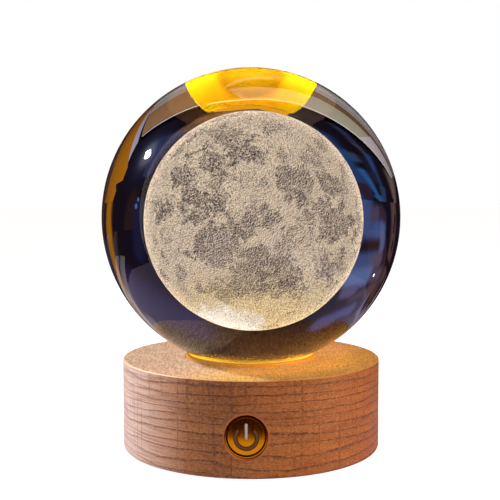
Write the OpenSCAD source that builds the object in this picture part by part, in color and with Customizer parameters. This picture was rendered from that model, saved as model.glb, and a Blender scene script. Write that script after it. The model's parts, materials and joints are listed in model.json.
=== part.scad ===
// Crystal ball lamp: a clear glass ball with a moon engraved inside it, resting in a glowing
// seat ring on a round wooden base that holds the lights, a rechargeable cell and a push button.
// Millimetres, +Z up, the button faces -Y, and the origin lies on the table under the ball.

/* [Crystal ball] */
// Diameter of the glass ball
ball_d = 80; // [74:1:86]
// How far the ball's lowest point lies under the wood's top face
ball_sink = 2.45; // [2:0.05:3]
// Diameter of the engraved moon
moon_d = 39.2; // [30:0.2:44]
// How far the moon sits below the ball's centre
moon_drop = 0.6; // [0:0.1:2]
// How far the moon sits to the right of the ball's centre
moon_shift = 0.45; // [-1:0.05:1]
// Gap between the moon and the glass around it
moon_gap = 0.05; // [0.02:0.01:0.1]

/* [Wooden base] */
// Diameter of the wood
base_d = 69.3; // [68:0.1:80]
// Height of the wood
base_h = 23.8; // [23:0.1:30]
// Radius of the wood's top edge
top_edge = 0.5; // [0.2:0.1:1.5]
// Radius of the wood's bottom edge
bottom_edge = 0.6; // [0.2:0.1:1.5]
// Thickness of the wood's side wall
side_wall = 8.4; // [8:0.1:10]
// Thickness of the wood between the light well and the lower cavity
web_t = 2.8; // [2.4:0.1:3.4]
// Width of the wooden ledge that the bottom cover lies against
cover_ledge = 5; // [4.8:0.1:5.4]
// Small bevel at the mouth of the seat groove
groove_bevel = 0.25; // [0.1:0.05:0.4]

/* [Seat ring] */
// How far the ring stands above the wood
ring_show = 0.85; // [0.6:0.05:1.4]
// Width of the flat land outside the ball on the ring's top
ring_land = 1.25; // [0.9:0.05:1.6]
// Width of the ring from bore to outside
ring_w = 5.3; // [5:0.1:6]
// Radius of the ring's outer top edge
ring_edge = 0.4; // [0.2:0.05:0.5]
// Gap between the ring's hollow seat and the glass
seat_gap = 0.25; // [0.2:0.05:0.3]
// Running gap between the ring and its groove in the wood
ring_fit = 0.06; // [0.04:0.01:0.1]
// Free height under the ball's lowest point, down to the ring's floor
ball_clear = 0.55; // [0.5:0.05:0.8]

/* [Light] */
// Thickness of the frosted disc over the lights
diffuser_t = 1.2; // [1:0.1:1.6]
// Width of the wooden ledge that carries the frosted disc
diffuser_lip = 1.4; // [1:0.1:1.8]
// How far the frosted disc's edge lies inside the ring's outside
diffuser_set = 2.6; // [2.5:0.1:2.9]
// Height between the frosted disc and the underside of the light board
light_space = 3.2; // [3.1:0.1:4]
// Thickness of the light board
light_board_t = 1.2; // [1:0.1:1.6]
// Side length of one light chip
chip_s = 3.2; // [2.8:0.1:3.6]
// Height of one light chip
chip_h = 1.6; // [1.2:0.1:1.8]
// Number of light chips around the middle one
chip_n = 6; // [4:1:6]
// Radius of the circle of light chips
chip_ring_r = 7.2; // [6.8:0.1:7.6]
// Distance of the light board's screws from the middle
light_screw_r = 11.2; // [11:0.1:11.6]

/* [Push button] */
// Height of the button's middle above the table
button_z = 10.9; // [10.6:0.1:11.4]
// Outer diameter of the button's sleeve
button_d = 10.4; // [10:0.1:11]
// Wall of the sleeve around the cap
sleeve_wall = 0.35; // [0.3:0.05:0.5]
// How far the sleeve's rim lies inside the wood's front
sleeve_inset = 0.35; // [0.3:0.05:0.6]
// How far the cap's face lies inside the sleeve's rim
cap_inset = 0.3; // [0.2:0.05:0.5]
// Thickness of the cap's head
cap_t = 2.2; // [2:0.1:2.6]
// Width of the bevel around the cap's face
cap_bevel = 0.35; // [0.2:0.05:0.5]
// How far the button presses in
press_travel = 0.8; // [0.5:0.1:0.9]
// Thickness of the sleeve's back wall that guides the stem
guide_t = 1.5; // [1.2:0.1:1.6]
// Diameter of the cap's stem
stem_d = 3; // [2.6:0.1:3.4]
// Outer diameter of the clip that keeps the cap in
clip_d = 5.4; // [5:0.1:6]
// Thickness of the clip
clip_t = 0.6; // [0.5:0.1:0.8]
// Radial running gap around the cap
cap_fit = 0.06; // [0.04:0.01:0.1]
// Radial running gap around the stem
stem_fit = 0.08; // [0.04:0.01:0.1]
// Radial gap of glued or clamped pieces in their holes
glue_gap = 0.05; // [0.02:0.01:0.1]
// Width of the bevel in the wood around the button
wood_bevel = 0.4; // [0.2:0.05:0.6]

/* [Power mark] */
// Outer radius of the open ring in the cap's face
mark_r = 3.1; // [2.8:0.05:3.3]
// Line width of the open ring
mark_line = 1.05; // [0.7:0.05:1.1]
// Half of the ring's opening, in degrees
mark_open = 46; // [40:1:52]
// How far the ring's middle lies below the cap's middle
mark_drop = 0.35; // [0:0.05:0.5]
// Width of the upright bar
bar_w = 1; // [0.7:0.05:1.1]
// Length of the upright bar
bar_l = 3.8; // [3.2:0.1:4]
// Height of the bar's middle above the cap's middle
bar_up = 1.25; // [1.2:0.05:1.6]
// Depth of the inlaid marks
mark_t = 0.15; // [0.1:0.05:0.3]

/* [Switch and control board] */
// Width and height of the switch housing
switch_s = 5; // [4.6:0.1:5.2]
// Depth of the switch housing
switch_l = 3.5; // [3.2:0.1:4.5]
// How far the switch housing lies inside the cavity's wall
switch_set = 1.9; // [1.8:0.1:2.6]
// Diameter of the switch's plunger
plunger_d = 2.6; // [2.2:0.1:3]
// How far the plunger stands out of its housing
plunger_show = 1.25; // [1.1:0.05:1.5]
// How far the plunger reaches into its housing at rest
plunger_in = 0.8; // [0.6:0.1:1]
// Thickness of the control board
board_t = 1.6; // [1.2:0.1:1.8]
// Gap between the control board's round edge and the wood
board_gap = 0.6; // [0.5:0.1:0.8]
// Distance of the control board's straight edge from the middle
board_back = 1; // [0.8:0.1:1.4]
// Half the distance between the two rear board screws
board_screw_x = 16; // [15.5:0.1:17]
// Distance of the rear board screws in front of the middle
board_screw_y = 8; // [7.5:0.1:9]
// Distance of the front board screw behind the switch housing
board_screw_room = 3.85; // [3.6:0.05:4.2]
// Radius of the posts that carry the control board
post_r = 2.4; // [2.2:0.1:2.8]
// Width of a wire connector
plug_w = 4.2; // [4:0.1:4.4]
// Depth of a wire connector
plug_l = 4; // [3.6:0.1:4.4]
// Height of a wire connector
plug_h = 3.4; // [3.2:0.1:3.8]
// Sideways distance of the outer wire connectors
plug_x = 5; // [4.8:0.1:5.4]
// Distance of the outer connectors' back faces in front of the middle
plug_back = 3; // [2.6:0.1:3.4]
// Distance of the light connector's middle behind the front board screw
light_plug_room = 6.4; // [6.2:0.1:6.8]
// Side length of the controller chip
controller_s = 5.6; // [4.8:0.1:6]
// Height of the controller chip
controller_h = 1.5; // [1.2:0.1:1.8]
// Diameter of the coil
coil_d = 5; // [4:0.1:5.2]
// Height of the coil
coil_h = 2.6; // [2.2:0.1:3]
// Sideways distance of the controller chip and of the coil
board_part_x = 11; // [10.8:0.1:11.4]
// Distance of the controller chip and of the coil in front of the middle
board_part_y = 14.5; // [14:0.1:15]
// Side length of a small chip
small_chip_s = 4; // [3:0.1:4.2]
// Height of a small chip
small_chip_h = 1; // [0.8:0.1:1.2]
// Sideways distance of the small chips
small_chip_x = 5.6; // [5.2:0.1:5.8]
// How far the small chips lie in front of the front board screw
small_chip_set = 1; // [0.6:0.1:1.4]

/* [Charging socket] */
// Height of the socket's middle above the table
port_z = 9.8; // [9.6:0.1:10.2]
// Width of the slot in the wood
slot_w = 13.2; // [13:0.1:14]
// Height of the slot in the wood
slot_h = 7.2; // [7:0.1:7.6]
// Radius of the slot's corners
slot_corner = 1; // [0.6:0.1:1.4]
// Depth of the pocket that takes the charging plug's handle
pocket_l = 5; // [4.6:0.1:5.6]
// Outer width of the metal shell
shell_w = 8.94; // [8.8:0.02:9.1]
// Outer height of the metal shell
shell_h = 3.26; // [3.2:0.02:3.4]
// Wall of the metal shell
shell_t = 0.31; // [0.25:0.01:0.35]
// Depth of the socket
shell_l = 7.35; // [7:0.05:7.6]
// Thickness of the housing behind the socket
port_back = 1.25; // [1:0.05:1.5]
// Width of the contact tongue
tongue_w = 6.69; // [6.5:0.01:6.8]
// Thickness of the contact tongue
tongue_t = 0.7; // [0.6:0.05:0.8]
// How far the contact tongue's tip lies inside the mouth
tongue_set = 1.2; // [0.8:0.1:1.6]

/* [Cell and wires] */
// Width of the cell
cell_w = 30; // [26:1:31]
// Gap between the cell and the socket's housing
cell_room = 1.55; // [1:0.05:3]
// Thickness of the cell
cell_t = 5; // [4:0.1:5.4]
// Distance of the cell's front face behind the middle
cell_y = 0.5; // [0.2:0.1:1]
// Thickness of the pad under the cell
pad_t = 0.5; // [0.3:0.1:0.8]
// How far the pad's edge lies inside the cell's edge
pad_in = 2; // [1:0.5:4]
// Diameter of a wire
wire_d = 1.1; // [0.9:0.1:1.2]
// Gap between a pair of wires
wire_gap = 0.5; // [0.3:0.05:0.6]
// Bend radius of the cell's wires
wire_bend = 1.2; // [1:0.1:1.4]
// How far behind the cell's front face its wires rise
wire_rise_y = 1.5; // [1.2:0.1:2]
// Radius of the wire hole in the web
wire_hole_r = 2; // [1.8:0.1:2.2]

/* [Bottom and fasteners] */
// Thickness of the bottom cover
cover_t = 2; // [1.8:0.1:2.2]
// Gap between the bottom cover and the wood around it
cover_gap = 0.15; // [0.1:0.05:0.3]
// Number of cover screws
cover_screw_n = 4; // [4:1:4]
// How far outside the cavity's wall the cover screws stand
cover_screw_set = 2.4; // [2.2:0.1:2.5]
// Length of a cover screw's shank
cover_screw_l = 6.4; // [5:0.1:8]
// Length of a board screw's shank
board_screw_l = 4.4; // [3.6:0.1:5]
// Length of a light board screw's shank
light_screw_l = 3.4; // [3:0.1:3.6]
// Diameter of the screw shanks
screw_d = 1.8; // [1.6:0.1:2]
// Diameter of the screw heads
screw_head_d = 3.4; // [3.2:0.1:3.6]
// Height of the screw heads
screw_head_h = 1; // [0.9:0.1:1.1]
// Gap around a shank where it passes through a plate
screw_pass = 0.2; // [0.1:0.05:0.3]
// Number of rubber feet
foot_n = 4; // [3:1:6]
// Diameter of a rubber foot
foot_d = 7.2; // [6:0.1:8]
// How far the feet show under the wood
foot_show = 0.7; // [0.5:0.1:0.9]
// How deep the feet lie in the cover
foot_in = 0.6; // [0.4:0.1:0.8]
// Distance of the feet from the middle
foot_place = 24; // [22:0.5:25]

/* [Hidden] */
$fn = 96;
eps = 0.01;
cut = 1;
thread_gap = 0.01;
lay_gap = 0.1;
ball_r = ball_d / 2;
moon_r = moon_d / 2;
base_r = base_d / 2;
wood_z = foot_show;
top_z = wood_z + base_h;
ball_z = top_z - ball_sink + ball_r;
seat_r = ball_r + seat_gap;
cavity_r = base_r - side_wall;
cover_r = cavity_r + cover_ledge - cover_gap;
cover_top = wood_z + cover_t;

ring_top = top_z + ring_show;
ring_r = sqrt(pow(seat_r, 2) - pow(ball_z - ring_top, 2)) + ring_land;
ring_bore_r = ring_r - ring_w;
ring_floor = top_z - ball_sink - ball_clear;
diffuser_r = ring_r - diffuser_set;
diffuser_top = ring_floor - lay_gap;
diffuser_z = diffuser_top - diffuser_t;
well_r = diffuser_r - diffuser_lip;
light_z = diffuser_z - light_space;
light_top = light_z + light_board_t;
light_board_r = well_r - 5 * glue_gap;
cavity_top = light_z - web_t;

button_r = button_d / 2;
cap_r = button_r - sleeve_wall - cap_fit;
stem_r = stem_d / 2;
sleeve_y = -(base_r - sleeve_inset);
cap_y = sleeve_y + cap_inset;
cap_back = cap_y + cap_t;
guide_y = cap_back + press_travel;
sleeve_back = guide_y + guide_t;
switch_y = -(cavity_r - switch_set);
plunger_y = switch_y - plunger_show;
plunger_r = plunger_d / 2;
mark_wedge = 2 * mark_r * tan(mark_open);

board_top = button_z - switch_s / 2;
board_z = board_top - board_t;
board_r = cavity_r - board_gap;
board_screw_front = -(switch_y + switch_l) - board_screw_room;
light_plug_y = board_screw_front - light_plug_room;
small_chip_y = board_screw_front + small_chip_set;
board_screws = [
    [-board_screw_x, -board_screw_y],
    [board_screw_x, -board_screw_y],
    [0, -board_screw_front]
];

slot_gap = 2 * glue_gap;
port_y = base_r - pocket_l;
port_l = shell_l + port_back;

cell_z = cover_top + pad_t;
cell_l = port_y - port_l - cell_room - cell_y;
cell_top = cell_z + cell_t;
wire_r = wire_d / 2;
wire_side = (wire_d + wire_gap) / 2;
cell_wire_z = board_top + plug_h / 2;
cell_wire_y = cell_y + wire_rise_y;

cover_screw_r = cavity_r + cover_screw_set;
screw_r = screw_d / 2;
screw_head_r = screw_head_d / 2;
foot_r = foot_d / 2;

glass = [0.16, 0.19, 0.32, 0.35];

// A disc with rounded lower and upper edges, standing on z = 0.
module rounded_disc(r, h, low, high) {
    rotate_extrude() {
        union() {
            square([r - max(low, high), h]);
            translate([0, low]) square([r, h - low - high]);
            square([r - low, low + eps]);
            translate([0, h - high - eps]) square([r - high, high + eps]);
            translate([r - low, low]) circle(low);
            translate([r - high, h - high]) circle(high);
        }
    }
}

// A slot outline with half-round ends, w wide and h high.
module slot_shape(w, h) {
    union() {
        square([w - h, h], center = true);
        translate([(w - h) / 2, 0]) circle(h / 2);
        translate([-(w - h) / 2, 0]) circle(h / 2);
    }
}

// A rectangle with round corners of radius r, w wide and h high.
module soft_rectangle(w, h, r) {
    union() {
        square([w - 2 * r, h], center = true);
        square([w, h - 2 * r], center = true);
        for (x = [-1, 1], y = [-1, 1]) translate([x * (w / 2 - r), y * (h / 2 - r)]) circle(r);
    }
}

// Places its children on the line along +Y that starts at height z and distance y.
module along_y(y, z) {
    translate([0, y, z]) rotate([-90, 0, 0]) children();
}

// Places its children on a circle of radius r, n times, turned by start.
module around(n, r, start) {
    for (i = [0:n - 1]) rotate([0, 0, start + i * 360 / n]) translate([r, 0, 0]) children();
}

// A screw with a flat head of which the underside lies on z = 0, with a crossed recess.
module screw(l) {
    difference() {
        union() {
            cylinder(r = screw_head_r, h = screw_head_h);
            translate([0, 0, -l]) cylinder(r = screw_r, h = l + eps);
        }
        for (a = [0, 90]) rotate([0, 0, a]) translate([0, 0, screw_head_h])
            cube([screw_head_d * 0.62, screw_head_d * 0.14, screw_head_h], center = true);
    }
}

// The pilot hole for a screw of shank length l, with its mouth on z = 0.
module pilot(l) {
    translate([0, 0, -l - screw_pass]) cylinder(r = screw_r + thread_gap, h = l + screw_pass + cut);
}

module wood_base() {
    color("burlywood") difference() {
        translate([0, 0, wood_z]) rounded_disc(base_r, base_h, bottom_edge, top_edge);
        translate([0, 0, ring_floor]) cylinder(r = ring_r + ring_fit, h = ball_d);
        translate([0, 0, top_z - groove_bevel]) cylinder(
            r1 = ring_r + ring_fit,
            r2 = ring_r + ring_fit + groove_bevel + cut,
            h = groove_bevel + cut
        );
        translate([0, 0, diffuser_z]) cylinder(r = diffuser_r + glue_gap, h = ball_d);
        translate([0, 0, light_z]) cylinder(r = well_r, h = ball_d);
        translate([0, -light_plug_y, cavity_top - cut]) cylinder(r = wire_hole_r, h = web_t + 2 * cut);
        translate([0, 0, wood_z - cut]) cylinder(r = cover_r + cover_gap, h = cover_t + cut);
        translate([0, 0, wood_z]) cylinder(r = cavity_r, h = cavity_top - wood_z);
        around(cover_screw_n, cover_screw_r, 45) translate([0, 0, wood_z + screw_head_h])
            mirror([0, 0, 1]) pilot(cover_screw_l);
        around(2, light_screw_r, 0) translate([0, 0, light_top]) pilot(light_screw_l);
        along_y(-base_r - cut, button_z) cylinder(r = button_r + glue_gap, h = side_wall + 2 * cut);
        along_y(-base_r - cut, button_z) cylinder(
            r1 = button_r + glue_gap + wood_bevel + cut,
            r2 = button_r + glue_gap,
            h = wood_bevel + cut
        );
        along_y(cavity_r - cut, port_z) linear_extrude(side_wall + 2 * cut)
            soft_rectangle(slot_w, slot_h, slot_corner);
    }
}

module seat_ring() {
    color("orange") difference() {
        translate([0, 0, ring_floor]) rounded_disc(ring_r, ring_top - ring_floor, eps, ring_edge);
        translate([0, 0, ring_floor - cut]) cylinder(r = ring_bore_r, h = ball_r);
        translate([0, 0, ball_z]) sphere(seat_r);
    }
}

module crystal_ball() {
    color(glass) difference() {
        translate([0, 0, ball_z]) sphere(ball_r);
        translate([moon_shift, 0, ball_z - moon_drop]) sphere(moon_r + moon_gap);
    }
}

module moon_engraving() {
    color("tan") translate([moon_shift, 0, ball_z - moon_drop]) sphere(moon_r);
}

module diffuser_disc() {
    color("gold") translate([0, 0, diffuser_z]) cylinder(r = diffuser_r, h = diffuser_t);
}

module light_board() {
    color("white") difference() {
        translate([0, 0, light_z]) cylinder(r = light_board_r, h = light_board_t);
        around(2, light_screw_r, 0) translate([0, 0, light_z - cut])
            cylinder(r = screw_r + screw_pass, h = light_board_t + 2 * cut);
    }
}

module light_chips() {
    color("khaki") {
        translate([-chip_s / 2, -chip_s / 2, light_top]) cube([chip_s, chip_s, chip_h]);
        around(chip_n, chip_ring_r, 180 / chip_n) translate([-chip_s / 2, -chip_s / 2, light_top])
            cube([chip_s, chip_s, chip_h]);
    }
}

module light_screws() {
    color("silver") around(2, light_screw_r, 0) translate([0, 0, light_top]) screw(light_screw_l);
}

module light_leads() {
    for (s = [-1, 1]) color(s < 0 ? "firebrick" : "dimgray")
        translate([s * wire_side, -light_plug_y, board_top + plug_h])
            cylinder(r = wire_r, h = light_z - board_top - plug_h);
}

module button_sleeve() {
    color("goldenrod") difference() {
        along_y(sleeve_y, button_z) cylinder(r = button_r, h = sleeve_back - sleeve_y);
        along_y(sleeve_y - cut, button_z) cylinder(r = cap_r + cap_fit, h = guide_y - sleeve_y + cut);
        along_y(guide_y - cut, button_z) cylinder(r = stem_r + stem_fit, h = guide_t + 2 * cut);
    }
}

module button_cap() {
    color("gold") difference() {
        union() {
            along_y(cap_y, button_z) cylinder(r1 = cap_r - cap_bevel, r2 = cap_r, h = cap_bevel);
            along_y(cap_y + cap_bevel, button_z) cylinder(r = cap_r, h = cap_t - cap_bevel);
            along_y(cap_back - eps, button_z) cylinder(r = stem_r, h = plunger_y - cap_back + eps);
        }
        ring_mark_shape(cut);
        bar_mark_shape(cut);
    }
}

// The open ring, mark_t deep in the cap's face and reaching out in front of it by extra.
module ring_mark_shape(extra) {
    translate([0, cap_y + mark_t, button_z - mark_drop]) rotate([90, 0, 0]) linear_extrude(mark_t + extra) {
        difference() {
            circle(mark_r);
            circle(mark_r - mark_line);
            polygon([[0, 0], [mark_wedge, 2 * mark_r], [-mark_wedge, 2 * mark_r]]);
        }
    }
}

// The upright bar, mark_t deep in the cap's face and reaching out in front of it by extra.
module bar_mark_shape(extra) {
    translate([0, cap_y + mark_t, button_z + bar_up]) rotate([90, 90, 0])
        linear_extrude(mark_t + extra) slot_shape(bar_l, bar_w);
}

module button_ring_mark() {
    color("sienna") ring_mark_shape(0);
}

module button_bar_mark() {
    color("lightgray") bar_mark_shape(0);
}

module button_clip() {
    color("silver") along_y(sleeve_back, button_z) difference() {
        cylinder(r = clip_d / 2, h = clip_t);
        translate([0, 0, -cut]) cylinder(r = stem_r + thread_gap, h = clip_t + 2 * cut);
    }
}

module switch_housing() {
    color("dimgray") difference() {
        translate([-switch_s / 2, switch_y, board_top]) cube([switch_s, switch_l, switch_s]);
        along_y(switch_y - cut, button_z)
            cylinder(r = plunger_r + glue_gap, h = plunger_in + press_travel + 3 * lay_gap + cut);
    }
}

module switch_plunger() {
    color("black") along_y(plunger_y, button_z) cylinder(r = plunger_r, h = plunger_show + plunger_in);
}

module control_board() {
    color("darkgreen") difference() {
        intersection() {
            translate([0, 0, board_z]) cylinder(r = board_r, h = board_t);
            translate([-base_r, -base_d - board_back, 0]) cube([base_d, base_d, base_h]);
        }
        for (p = board_screws) translate([p[0], p[1], board_z - cut])
            cylinder(r = screw_r + screw_pass, h = board_t + 2 * cut);
    }
}

module board_chips() {
    color("black") {
        translate([-board_part_x, -board_part_y, board_top + controller_h / 2])
            cube([controller_s, controller_s, controller_h], center = true);
        for (s = [-1, 1]) translate([s * small_chip_x, -small_chip_y, board_top + small_chip_h / 2])
            cube([small_chip_s, small_chip_s, small_chip_h], center = true);
    }
}

module board_coil() {
    color("slategray") translate([board_part_x, -board_part_y, board_top])
        cylinder(r = coil_d / 2, h = coil_h);
}

module wire_connectors() {
    color("ivory") {
        for (s = [-1, 1]) translate([s * plug_x - plug_w / 2, -plug_back - plug_l, board_top])
            cube([plug_w, plug_l, plug_h]);
        translate([-plug_w / 2, -light_plug_y - plug_l / 2, board_top]) cube([plug_w, plug_l, plug_h]);
    }
}

module board_screw_set() {
    color("silver") for (p = board_screws) translate([p[0], p[1], board_top]) screw(board_screw_l);
}

module port_housing() {
    color("black") difference() {
        along_y(port_y - port_l, port_z) linear_extrude(port_l)
            soft_rectangle(slot_w - 2 * slot_gap, slot_h - 2 * slot_gap, slot_corner - slot_gap);
        along_y(port_y - shell_l, port_z) linear_extrude(shell_l + cut) slot_shape(shell_w, shell_h);
    }
}

module port_shell() {
    color("silver") along_y(port_y - shell_l, port_z) linear_extrude(shell_l) difference() {
        slot_shape(shell_w, shell_h);
        slot_shape(shell_w - 2 * shell_t, shell_h - 2 * shell_t);
    }
}

module port_tongue() {
    color("black") translate([-tongue_w / 2, port_y - shell_l, port_z - tongue_t / 2])
        cube([tongue_w, shell_l - tongue_set, tongue_t]);
}

module port_leads() {
    for (s = [-1, 1]) color(s < 0 ? "firebrick" : "dimgray")
        translate([plug_x + s * wire_side, 0, 0]) along_y(-plug_back, port_z)
            cylinder(r = wire_r, h = port_y - port_l + plug_back);
}

module cell() {
    color("lightsteelblue") translate([-cell_w / 2, cell_y, cell_z]) cube([cell_w, cell_l, cell_t]);
}

module cell_pad() {
    color("white") translate([-cell_w / 2 + pad_in, cell_y + pad_in, cover_top])
        cube([cell_w - 2 * pad_in, cell_l - 2 * pad_in, pad_t]);
}

module cell_leads() {
    for (s = [-1, 1]) color(s < 0 ? "firebrick" : "dimgray") translate([-plug_x + s * wire_side, 0, 0]) {
        translate([0, cell_wire_y, cell_top]) cylinder(r = wire_r, h = cell_wire_z - wire_bend - cell_top);
        translate([0, cell_wire_y - wire_bend, cell_wire_z - wire_bend]) rotate([90, 0, 90])
            rotate_extrude(angle = 90) translate([wire_bend, 0]) circle(wire_r);
        along_y(-plug_back, cell_wire_z) cylinder(r = wire_r, h = cell_wire_y - wire_bend + plug_back);
    }
}

module bottom_cover() {
    color("dimgray") difference() {
        union() {
            translate([0, 0, wood_z]) cylinder(r = cover_r, h = cover_t);
            for (p = board_screws) translate([p[0], p[1], cover_top - eps])
                cylinder(r = post_r, h = board_z - cover_top + eps);
        }
        for (p = board_screws) translate([p[0], p[1], board_top]) pilot(board_screw_l);
        around(cover_screw_n, cover_screw_r, 45) {
            translate([0, 0, wood_z - cut]) cylinder(r = screw_r + screw_pass, h = cover_t + 2 * cut);
            translate([0, 0, wood_z - cut])
                cylinder(r = screw_head_r + screw_pass, h = screw_head_h + cut);
        }
        around(foot_n, foot_place, 0) translate([0, 0, wood_z - cut])
            cylinder(r = foot_r + glue_gap, h = foot_in + cut);
    }
}

module cover_screw_set() {
    color("silver") around(cover_screw_n, cover_screw_r, 45) translate([0, 0, wood_z + screw_head_h])
        mirror([0, 0, 1]) screw(cover_screw_l);
}

module rubber_feet() {
    color("black") around(foot_n, foot_place, 0) cylinder(r = foot_r, h = foot_show + foot_in);
}

wood_base();
seat_ring();
crystal_ball();
moon_engraving();
diffuser_disc();
light_board();
light_chips();
light_screws();
light_leads();
button_sleeve();
button_cap();
button_clip();
button_ring_mark();
button_bar_mark();
switch_housing();
switch_plunger();
control_board();
board_chips();
board_coil();
wire_connectors();
board_screw_set();
port_housing();
port_shell();
port_tongue();
port_leads();
cell();
cell_pad();
cell_leads();
bottom_cover();
cover_screw_set();
rubber_feet();
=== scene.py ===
# %% [markdown]
# # A crystal ball lamp
# A clear glass ball with a moon engraved inside it rests in a glowing ring on a round beech base.
# The base and its fittings come from a packed construction model, which is loaded here as a fixed
# frame. This script adds what a photograph shows and a construction model does not: the polished
# glass, the engraving, the grain of the wood, the light, and the camera.
# Everything is in metres, +Z is up, and the push button faces -Y.

# %% Load the frame and keep its size
import json
import math

import bpy
import numpy as np
from mathutils import Euler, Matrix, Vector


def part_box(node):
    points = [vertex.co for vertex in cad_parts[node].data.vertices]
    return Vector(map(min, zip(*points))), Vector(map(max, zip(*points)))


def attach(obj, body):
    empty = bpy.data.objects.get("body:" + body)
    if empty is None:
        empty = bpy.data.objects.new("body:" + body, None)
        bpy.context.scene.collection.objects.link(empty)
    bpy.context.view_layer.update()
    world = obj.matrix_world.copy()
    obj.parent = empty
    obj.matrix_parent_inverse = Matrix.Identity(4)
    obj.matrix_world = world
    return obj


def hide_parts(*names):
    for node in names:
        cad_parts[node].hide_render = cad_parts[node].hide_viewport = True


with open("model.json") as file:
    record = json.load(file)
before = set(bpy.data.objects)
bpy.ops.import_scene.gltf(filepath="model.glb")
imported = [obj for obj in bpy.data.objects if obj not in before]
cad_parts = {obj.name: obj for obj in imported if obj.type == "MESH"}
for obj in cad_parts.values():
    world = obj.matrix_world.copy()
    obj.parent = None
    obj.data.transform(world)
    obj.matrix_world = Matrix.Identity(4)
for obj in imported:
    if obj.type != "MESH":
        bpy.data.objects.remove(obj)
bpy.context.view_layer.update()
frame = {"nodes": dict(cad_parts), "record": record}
nodes = frame["nodes"]
MM = 0.001
print("pieces in the frame:", len(nodes))

# %% [markdown]
# ## Colours
# Colours are read off the real thing as sRGB, the way a screen shows them. Blender mixes light in
# linear values, so every colour goes through one function first. The alternative, typing linear
# numbers, is hard to compare with what the eye sees.


# %% One function for colour
def linear(code, strength=1.0):
    """sRGB hex to linear RGBA: c / 12.92 below 0.04045, else ((c + 0.055) / 1.055) ** 2.4."""
    channels = [int(code[i : i + 2], 16) / 255 for i in (0, 2, 4)]
    bent = [c / 12.92 if c <= 0.04045 else ((c + 0.055) / 1.055) ** 2.4 for c in channels]
    return tuple(strength * c for c in bent) + (1.0,)


print("amber is", [round(c, 3) for c in linear("FFA51E")])

# %% [markdown]
# ## Nodes
# A material is a small network. One helper adds a node, sets its options and fills its inputs with
# numbers or with other nodes. The rest of the script then reads like a recipe. Inputs come in the
# order of the node's sockets: MapRange with [x, 0.3, 0.7, 0, 1] rises from 0 where x is 0.3 to 1
# where x is 0.7. A Mix node lists its sockets for numbers, vectors and colours together, so the
# three that mix colours have names here.

# %% One function for nodes
SHARE, UNDER, OVER = 0, 6, 7


def add(tree, kind, inputs=(), **options):
    """Adds a node. Inputs, in order or by name, are values, outputs, or nodes (first output)."""
    made = tree.nodes.new("ShaderNode" + kind)
    for name, value in options.items():
        setattr(made, name, value)
    for key, value in inputs.items() if isinstance(inputs, dict) else enumerate(inputs):
        if isinstance(value, bpy.types.Node):
            value = next(out for out in value.outputs if out.enabled)
        if isinstance(value, bpy.types.NodeSocket):
            tree.links.new(value, made.inputs[key])
        else:
            made.inputs[key].default_value = value
    return made


def new_finish(name, surface):
    """A material: surface builds the shader in its empty network, joined to the output here."""
    finish = bpy.data.materials.new(name)
    finish.use_nodes = True
    tree = finish.node_tree
    tree.nodes.clear()
    add(tree, "OutputMaterial", {"Surface": surface(tree)})
    return finish


# %% [markdown]
# ## Patterns in millimetres
# Grain, cracks and frosting all start from noise. These functions measure it in millimetres on the
# real thing, from Object coordinates, so that a pattern stays the same size on every piece.


# %% Noise and distances in millimetres
def lumps(tree, size_mm, detail=2.0, roughness=0.5, distortion=0.0, step_mm=None):
    """Noise from 0 to 1 with lumps of size_mm, one number or three, read step_mm further on."""
    sizes = size_mm if isinstance(size_mm, tuple) else (size_mm,) * 3
    where = add(tree, "TexCoord").outputs["Object"]
    if step_mm:
        where = add(tree, "VectorMath", [where, [v * MM for v in step_mm]], operation="ADD")
    cells = add(tree, "Mapping", {"Vector": where, "Scale": [0.5 / (v * MM) for v in sizes]})
    look = {"Scale": 1.0, "Detail": detail, "Roughness": roughness, "Distortion": distortion}
    return add(tree, "TexNoise", {"Vector": cells, **look})


def away_mm(tree, centre_mm=(0, 0, 0), counts=(1, 1, 0)):
    """Distance from an axis through centre_mm; counts says which of x, y and z count."""
    where = add(tree, "TexCoord").outputs["Object"]
    moved = add(tree, "VectorMath", [where, [v * MM for v in centre_mm]], operation="SUBTRACT")
    flat = add(tree, "VectorMath", [moved, [v / MM for v in counts]], operation="MULTIPLY")
    return add(tree, "VectorMath", [flat], operation="LENGTH").outputs["Value"]


def apart(tree, value, middle):
    """|value - middle|."""
    off = add(tree, "Math", [value, middle], operation="SUBTRACT")
    return add(tree, "Math", [off], operation="ABSOLUTE")


# %% [markdown]
# ## The camera
# The photograph was taken from close by, with a long lens, a little above the ball's middle. The
# distance and height come from a fit of the ball's and the base's outlines and of the front of the
# base's top rim.

# %% The camera
camera_away = 250 * MM
camera_high = 69 * MM
camera_right = math.radians(1.9)
look_down = math.radians(3.6)
look_left = math.radians(1.96)
lens_mm = 66.38
film_mm = 36

camera_data = bpy.data.cameras.new("camera")
camera_data.sensor_width = film_mm
camera_data.lens = lens_mm
camera = bpy.data.objects.new("camera", camera_data)
camera.location = (
    camera_away * math.sin(camera_right),
    -camera_away * math.cos(camera_right),
    camera_high,
)
camera.rotation_euler = Euler((math.pi / 2 - look_down, 0, look_left))
bpy.context.scene.collection.objects.link(camera)
bpy.context.scene.camera = camera
bpy.context.scene.view_settings.view_transform = "Standard"
print("camera at", [round(v, 4) for v in camera.location])

# %% [markdown]
# ## Surfaces from grids
# New pieces are surfaces worked out with numpy. A grid of points, u around and v along, becomes a
# mesh of quads, and a pole before its first row or after its last is closed with triangles.


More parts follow.
